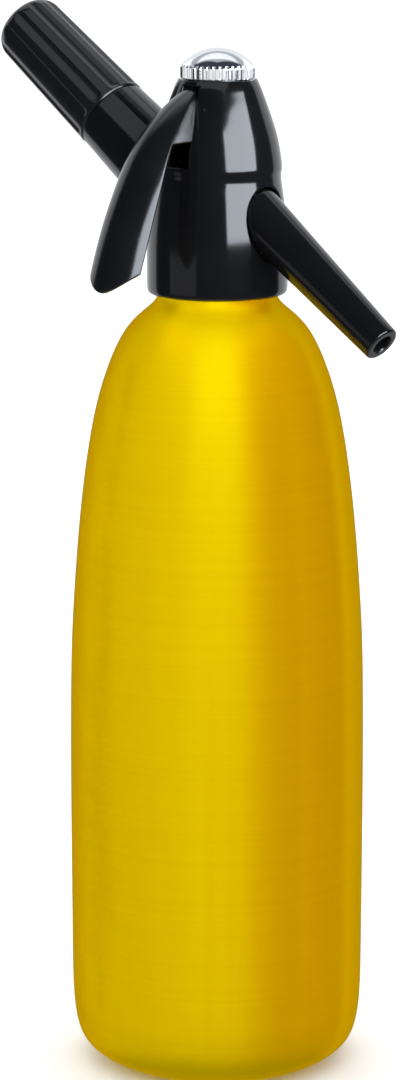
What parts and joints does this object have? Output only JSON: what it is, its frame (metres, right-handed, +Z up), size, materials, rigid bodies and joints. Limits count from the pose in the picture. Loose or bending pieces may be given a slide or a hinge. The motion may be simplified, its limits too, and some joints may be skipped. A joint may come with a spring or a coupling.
{
  "type": "soda siphon",
  "caption": "Bullet-shaped aluminium soda siphon with a screwed plastic head, squeeze lever, sloping spout and a ribbed gas charger holder.",
  "frame": {"origin": "centre of the foot ring, on the plane the bottle stands on", "axes": "+Z up along the bottle's axis; +X towards the spout; -X towards the charger holder; -Y towards the squeeze lever"},
  "size_m": [0.1497, 0.099, 0.3247],
  "materials": {
    "yellow_aluminium": "satin",
    "black_plastic": "gloss",
    "black_plastic_spout": "gloss",
    "black_plastic_lever": "gloss",
    "black_plastic_holder": "satin gloss",
    "chrome": "mirror",
    "steel": "satin",
    "spring_steel": "satin",
    "charger_steel": "satin",
    "plated_brass": "satin",
    "seal_rubber": "matt",
    "white_plastic": "matt",
    "tube_plastic": "matt"
  },
  "bodies": {
    "bottle": {"bottle_shell": "yellow_aluminium"},
    "riser": {"riser_tube": "tube_plastic"},
    "neck_seal": {"neck_gasket": "seal_rubber"},
    "head": {"head_casing": "black_plastic", "valve_body": "plated_brass", "valve_seat": "white_plastic", "tube_gasket": "seal_rubber", "spout": "black_plastic_spout", "spout_seal": "seal_rubber", "lever_pivot_pin": "steel", "inlet_fitting": "plated_brass", "piercing_pin": "steel", "pin_retainer": "plated_brass", "charger_gasket": "seal_rubber", "valve_spring": "spring_steel"},
    "lever": {"lever": "black_plastic_lever"},
    "piston": {"valve_piston": "plated_brass", "valve_seal": "seal_rubber", "piston_oring": "seal_rubber", "lift_collar": "steel", "collar_nut": "steel"},
    "cap_washer": {"spring_washer": "steel"},
    "cap": {"top_cap": "chrome"},
    "check": {"check_valve": "seal_rubber"},
    "charger": {"charger_cartridge": "charger_steel"},
    "pad": {"holder_pad": "seal_rubber"},
    "holder": {"charger_holder": "black_plastic_holder"}
  },
  "joints": [
    {"name": "head_lift", "type": "slide", "parent": "bottle", "child": "riser", "axis": [0, 0, 1], "range_m": [0, 0.27]},
    {"name": "head_rise", "type": "slide", "parent": "riser", "child": "neck_seal", "axis": [0, 0, 1], "range_m": [0, 0.00751]},
    {"name": "head_unscrew", "type": "hinge", "parent": "neck_seal", "child": "head", "pos_m": [0, 0, 0.25], "axis": [0, 0, 1], "range_deg": [0, 900]},
    {"name": "lever_squeeze", "type": "hinge", "parent": "head", "child": "lever", "pos_m": [0, -0.0125, 0.2955], "axis": [1, 0, 0], "range_deg": [0, 16], "stiffness_Nm_per_rad": 0.35, "springref_deg": -17.19},
    {"name": "piston_lift", "type": "slide", "parent": "head", "child": "piston", "axis": [0, 0, 1], "range_m": [0, 0.004], "deforming": ["valve_spring"]},
    {"name": "cap_rise", "type": "slide", "parent": "head", "child": "cap_washer", "axis": [0, 0, 1], "range_m": [0, 0.00376]},
    {"name": "cap_unscrew", "type": "hinge", "parent": "cap_washer", "child": "cap", "pos_m": [0, 0, 0.306], "axis": [0, 0, 1], "range_deg": [0, 900]},
    {"name": "check_valve_open", "type": "slide", "parent": "head", "child": "check", "axis": [0.8103, 0, -0.5859], "range_m": [0, 0.001], "stiffness_N_per_m": 20, "springref_m": -0.0003},
    {"name": "charger_pull", "type": "slide", "parent": "head", "child": "charger", "axis": [-0.8103, 0, 0.5859], "range_m": [0, 0.05]},
    {"name": "holder_rise", "type": "slide", "parent": "charger", "child": "pad", "axis": [-0.8103, 0, 0.5859], "range_m": [0, 0.00601]},
    {"name": "holder_unscrew", "type": "hinge", "parent": "pad", "child": "holder", "pos_m": [-0.05672, 0, 0.3016], "axis": [-0.8103, 0, 0.5859], "range_deg": [0, 1080]}
  ],
  "couplings": [
    {"joint": "head_rise", "follows": "head_unscrew", "m_per_rad": 0.00047746},
    {"joint": "piston_lift", "follows": "lever_squeeze", "m_per_rad": 0.0143},
    {"joint": "cap_rise", "follows": "cap_unscrew", "m_per_rad": 0.00023873},
    {"joint": "holder_rise", "follows": "holder_unscrew", "m_per_rad": 0.00031831}
  ]
}
